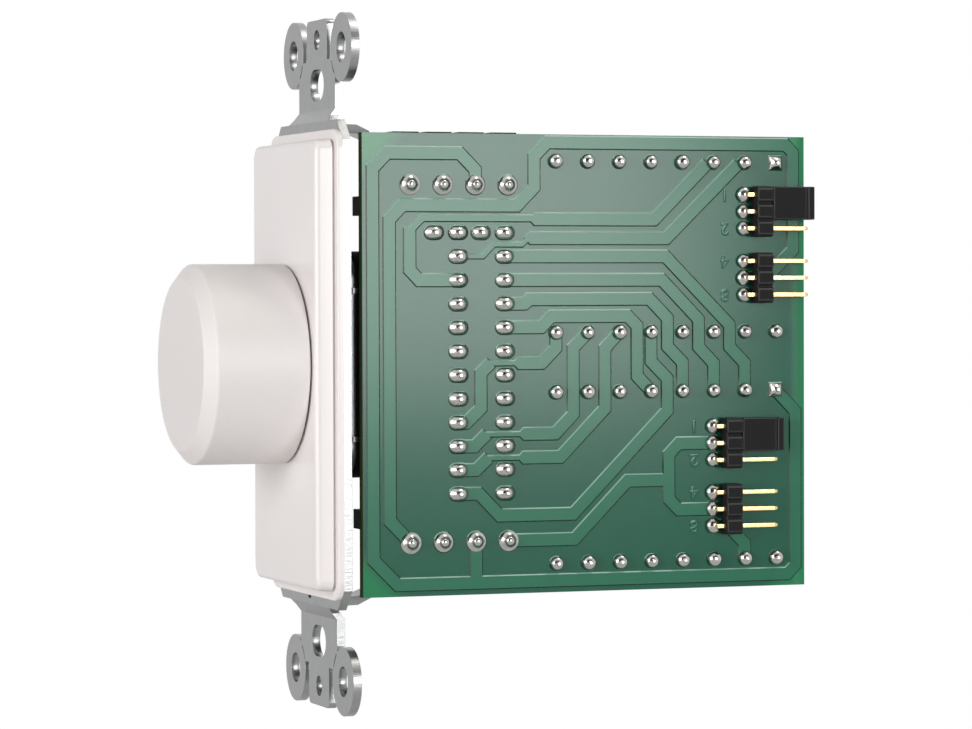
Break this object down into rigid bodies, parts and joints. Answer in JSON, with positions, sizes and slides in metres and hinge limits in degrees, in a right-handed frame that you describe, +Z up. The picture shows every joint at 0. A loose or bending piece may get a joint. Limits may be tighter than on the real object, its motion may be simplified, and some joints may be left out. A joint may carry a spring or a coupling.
{
  "type": "wall volume control",
  "caption": "In-wall loudspeaker volume control: steel strap, white insert and round knob on a stepped switch, with an upright circuit board behind carrying transformers, terminals and jumpers.",
  "frame": {"origin": "middle of the strap, on the wall plane that the rear faces of its ears rest against", "axes": "-Y is the front, where the knob points; +Y goes into the wall; +X is right seen from the front, where the board's soldered side faces; +Z is up"},
  "size_m": [0.0374, 0.0939, 0.1036],
  "materials": {
    "strap_steel": "galvanised, satin",
    "moulded_white": "fine moulded texture",
    "plated_steel": "zinc plated",
    "die_cast_zinc": "turned thread",
    "black_moulding": "moulded",
    "brown_laminate": "pressed",
    "pale_moulding": "moulded",
    "contact_brass": "rolled",
    "tinned_lead": "tinned",
    "board_green": "lacquered",
    "masked_copper": "lacquered",
    "solder": "bright",
    "gold_plate": "bright",
    "core_steel": "varnished",
    "copper_wire": "enamelled",
    "yellow_tape": "polyester film",
    "screw_zinc": "zinc plated"
  },
  "bodies": {
    "chassis": {"mounting_strap": "strap_steel", "front_insert": "moulded_white", "bushing_nut": "plated_steel", "lock_washer": "plated_steel", "switch_front_plate": "plated_steel", "switch_rear_plate": "plated_steel", "detent_balls": "plated_steel", "detent_springs": "plated_steel", "switch_bushing": "die_cast_zinc", "detent_housing": "black_moulding", "pin_headers": "black_moulding", "upper_terminal_block": "black_moulding", "lower_terminal_block": "black_moulding", "front_wafer": "brown_laminate", "rear_wafer": "brown_laminate", "upper_bobbin": "pale_moulding", "lower_bobbin": "pale_moulding", "fixed_contacts": "contact_brass", "switch_pins": "tinned_lead", "transformer_pins": "tinned_lead", "terminal_legs": "tinned_lead", "circuit_board": "board_green", "copper_tracks": "masked_copper", "solder_joints": "solder", "header_pins": "gold_plate", "upper_core": "core_steel", "lower_core": "core_steel", "upper_winding": "copper_wire", "lower_winding": "copper_wire", "upper_tape": "yellow_tape", "lower_tape": "yellow_tape"},
    "dial": {"knob": "moulded_white", "knob_clip": "plated_steel", "shaft": "plated_steel", "shaft_ring": "plated_steel", "detent_wheel": "pale_moulding", "front_rotor": "pale_moulding", "rear_rotor": "pale_moulding", "wiper_springs": "contact_brass"},
    "upper_shunt": {"upper_shunt": "black_moulding", "upper_shunt_contact": "contact_brass"},
    "lower_shunt": {"lower_shunt": "black_moulding", "lower_shunt_contact": "contact_brass"},
    "upper_screw_1": {"upper_screw_1": "screw_zinc"},
    "upper_screw_2": {"upper_screw_2": "screw_zinc"},
    "upper_screw_3": {"upper_screw_3": "screw_zinc"},
    "upper_screw_4": {"upper_screw_4": "screw_zinc"},
    "lower_screw_1": {"lower_screw_1": "screw_zinc"},
    "lower_screw_2": {"lower_screw_2": "screw_zinc"},
    "lower_screw_3": {"lower_screw_3": "screw_zinc"},
    "lower_screw_4": {"lower_screw_4": "screw_zinc"},
    "upper_clamp_1": {"upper_clamp_1": "contact_brass"},
    "upper_clamp_2": {"upper_clamp_2": "contact_brass"},
    "upper_clamp_3": {"upper_clamp_3": "contact_brass"},
    "upper_clamp_4": {"upper_clamp_4": "contact_brass"},
    "lower_clamp_1": {"lower_clamp_1": "contact_brass"},
    "lower_clamp_2": {"lower_clamp_2": "contact_brass"},
    "lower_clamp_3": {"lower_clamp_3": "contact_brass"},
    "lower_clamp_4": {"lower_clamp_4": "contact_brass"}
  },
  "joints": [
    {"name": "volume_turn", "type": "hinge", "parent": "chassis", "child": "dial", "pos_m": [0, 0, 0], "axis": [0, 1, 0], "range_deg": [0, 330]},
    {"name": "upper_shunt_pull", "type": "slide", "parent": "chassis", "child": "upper_shunt", "axis": [0, 1, 0], "range_m": [0, 0.0075]},
    {"name": "lower_shunt_pull", "type": "slide", "parent": "chassis", "child": "lower_shunt", "axis": [0, 1, 0], "range_m": [0, 0.0075]},
    {"name": "upper_screw_1_turn", "type": "hinge", "parent": "chassis", "child": "upper_screw_1", "pos_m": [0.0055, 0.0075, 0.02995], "axis": [1, 0, 0], "range_deg": [0, 1620]},
    {"name": "upper_clamp_1_rise", "type": "slide", "parent": "chassis", "child": "upper_clamp_1", "axis": [-1, 0, 0], "range_m": [0, 0.00225]},
    {"name": "upper_screw_2_turn", "type": "hinge", "parent": "chassis", "child": "upper_screw_2", "pos_m": [0.0055, 0.01258, 0.02995], "axis": [1, 0, 0], "range_deg": [0, 1620]},
    {"name": "upper_clamp_2_rise", "type": "slide", "parent": "chassis", "child": "upper_clamp_2", "axis": [-1, 0, 0], "range_m": [0, 0.00225]},
    {"name": "upper_screw_3_turn", "type": "hinge", "parent": "chassis", "child": "upper_screw_3", "pos_m": [0.0055, 0.01766, 0.02995], "axis": [1, 0, 0], "range_deg": [0, 1620]},
    {"name": "upper_clamp_3_rise", "type": "slide", "parent": "chassis", "child": "upper_clamp_3", "axis": [-1, 0, 0], "range_m": [0, 0.00225]},
    {"name": "upper_screw_4_turn", "type": "hinge", "parent": "chassis", "child": "upper_screw_4", "pos_m": [0.0055, 0.02274, 0.02995], "axis": [1, 0, 0], "range_deg": [0, 1620]},
    {"name": "upper_clamp_4_rise", "type": "slide", "parent": "chassis", "child": "upper_clamp_4", "axis": [-1, 0, 0], "range_m": [0, 0.00225]},
    {"name": "lower_screw_1_turn", "type": "hinge", "parent": "chassis", "child": "lower_screw_1", "pos_m": [0.0055, 0.0075, -0.02965], "axis": [1, 0, 0], "range_deg": [0, 1620]},
    {"name": "lower_clamp_1_rise", "type": "slide", "parent": "chassis", "child": "lower_clamp_1", "axis": [-1, 0, 0], "range_m": [0, 0.00225]},
    {"name": "lower_screw_2_turn", "type": "hinge", "parent": "chassis", "child": "lower_screw_2", "pos_m": [0.0055, 0.01258, -0.02965], "axis": [1, 0, 0], "range_deg": [0, 1620]},
    {"name": "lower_clamp_2_rise", "type": "slide", "parent": "chassis", "child": "lower_clamp_2", "axis": [-1, 0, 0], "range_m": [0, 0.00225]},
    {"name": "lower_screw_3_turn", "type": "hinge", "parent": "chassis", "child": "lower_screw_3", "pos_m": [0.0055, 0.01766, -0.02965], "axis": [1, 0, 0], "range_deg": [0, 1620]},
    {"name": "lower_clamp_3_rise", "type": "slide", "parent": "chassis", "child": "lower_clamp_3", "axis": [-1, 0, 0], "range_m": [0, 0.00225]},
    {"name": "lower_screw_4_turn", "type": "hinge", "parent": "chassis", "child": "lower_screw_4", "pos_m": [0.0055, 0.02274, -0.02965], "axis": [1, 0, 0], "range_deg": [0, 1620]},
    {"name": "lower_clamp_4_rise", "type": "slide", "parent": "chassis", "child": "lower_clamp_4", "axis": [-1, 0, 0], "range_m": [0, 0.00225]}
  ],
  "couplings": [
    {"joint": "upper_screw_1_turn", "follows": "upper_clamp_1_rise", "rad_per_m": 12566},
    {"joint": "upper_screw_2_turn", "follows": "upper_clamp_2_rise", "rad_per_m": 12566},
    {"joint": "upper_screw_3_turn", "follows": "upper_clamp_3_rise", "rad_per_m": 12566},
    {"joint": "upper_screw_4_turn", "follows": "upper_clamp_4_rise", "rad_per_m": 12566},
    {"joint": "lower_screw_1_turn", "follows": "lower_clamp_1_rise", "rad_per_m": 12566},
    {"joint": "lower_screw_2_turn", "follows": "lower_clamp_2_rise", "rad_per_m": 12566},
    {"joint": "lower_screw_3_turn", "follows": "lower_clamp_3_rise", "rad_per_m": 12566},
    {"joint": "lower_screw_4_turn", "follows": "lower_clamp_4_rise", "rad_per_m": 12566}
  ]
}
